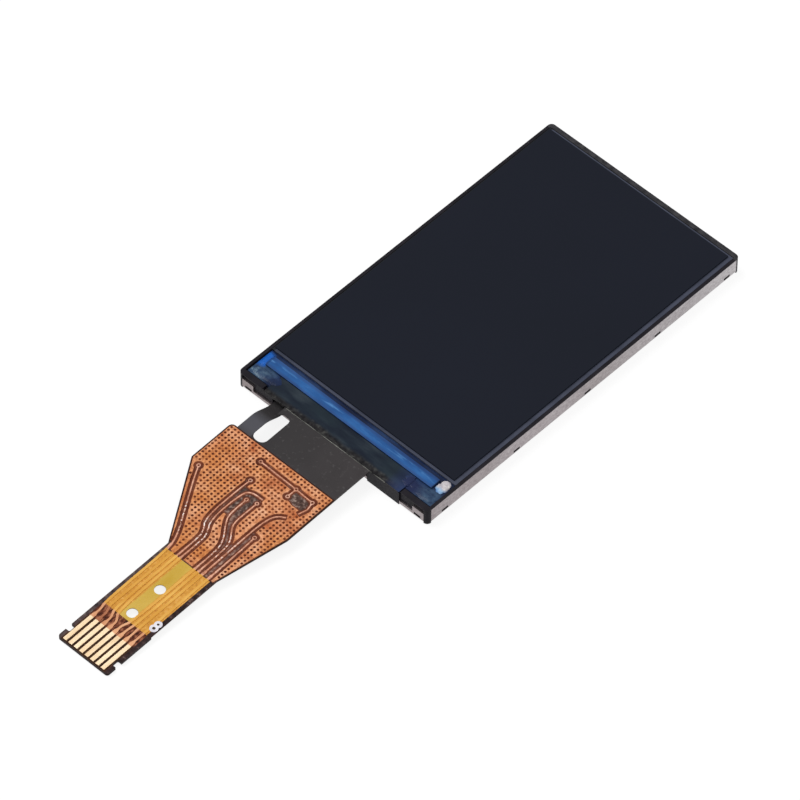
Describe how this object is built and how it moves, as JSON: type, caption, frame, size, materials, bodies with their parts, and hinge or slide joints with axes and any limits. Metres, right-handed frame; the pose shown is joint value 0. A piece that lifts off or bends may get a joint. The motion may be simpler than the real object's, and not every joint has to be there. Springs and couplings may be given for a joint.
{
  "type": "tft display module",
  "caption": "Small bare colour liquid crystal display in a steel-backed tray, with a flexible circuit that narrows to a plug-in tail of gold contacts.",
  "frame": {"origin": "middle of the steel tray's flat underside", "axes": "+Z out of the viewing face, -Y along the flexible circuit towards its contacts, +X to the right when the face is seen with the circuit at the bottom"},
  "size_m": [0.0176, 0.0548, 0.0015],
  "materials": {
    "tray_steel": "plain rolled sheet, satin",
    "frame_plastic": "moulded, satin",
    "reflector_film": "white film",
    "light_guide": "clear moulding with a fine dot texture below",
    "diffuser_film": "frosted film",
    "prism_film": "clear film with fine grooves",
    "shield_tape": "black film",
    "lamp_housing": "moulded white",
    "lamp_phosphor": "cured resin",
    "lower_polariser": "clear hard coat",
    "array_glass": "polished, over a dark layer",
    "filter_glass": "polished, over a black matrix",
    "upper_polariser": "smooth, faint blue",
    "driver_chip": "polished back of bare silicon under clear resin",
    "ledge_sealant": "cured blue resin",
    "ground_paste": "cured silver-filled paste",
    "flex_film": "black cover film on amber base",
    "tail_window": "clear amber film",
    "bonding_tape": "black film",
    "plug_stiffener": "laminated film",
    "covered_copper": "copper under an amber cover film",
    "covered_line": "copper under an amber cover film",
    "contact_gold": "hard gold plate on copper"
  },
  "bodies": {
    "root": {"rear_tray": "tray_steel", "mould_frame": "frame_plastic", "reflector_film": "reflector_film", "light_guide": "light_guide", "diffuser_film": "diffuser_film", "lower_prism_film": "prism_film", "upper_prism_film": "prism_film", "light_shield_tape": "shield_tape", "lamp_housing_1": "lamp_housing", "lamp_housing_2": "lamp_housing", "lamp_phosphor_1": "lamp_phosphor", "lamp_phosphor_2": "lamp_phosphor", "lower_polariser": "lower_polariser", "array_glass": "array_glass", "filter_glass": "filter_glass", "upper_polariser": "upper_polariser", "driver_chip": "driver_chip", "ledge_sealant": "ledge_sealant", "ground_paste": "ground_paste", "flex_film": "flex_film", "tail_window": "tail_window", "bonding_tape": "bonding_tape", "plug_stiffener": "plug_stiffener", "ground_copper": "covered_copper", "centre_copper": "covered_copper", "bias_trace": "covered_line", "signal_trace_1": "covered_line", "signal_trace_3": "covered_line", "signal_trace_4": "covered_line", "signal_trace_5": "covered_line", "signal_trace_6": "covered_line", "signal_trace_7": "covered_line", "signal_trace_8": "covered_line", "contact_1": "contact_gold", "contact_2": "contact_gold", "contact_3": "contact_gold", "contact_4": "contact_gold", "contact_5": "contact_gold", "contact_6": "contact_gold", "contact_7": "contact_gold", "contact_8": "contact_gold"}
  },
  "joints": []
}
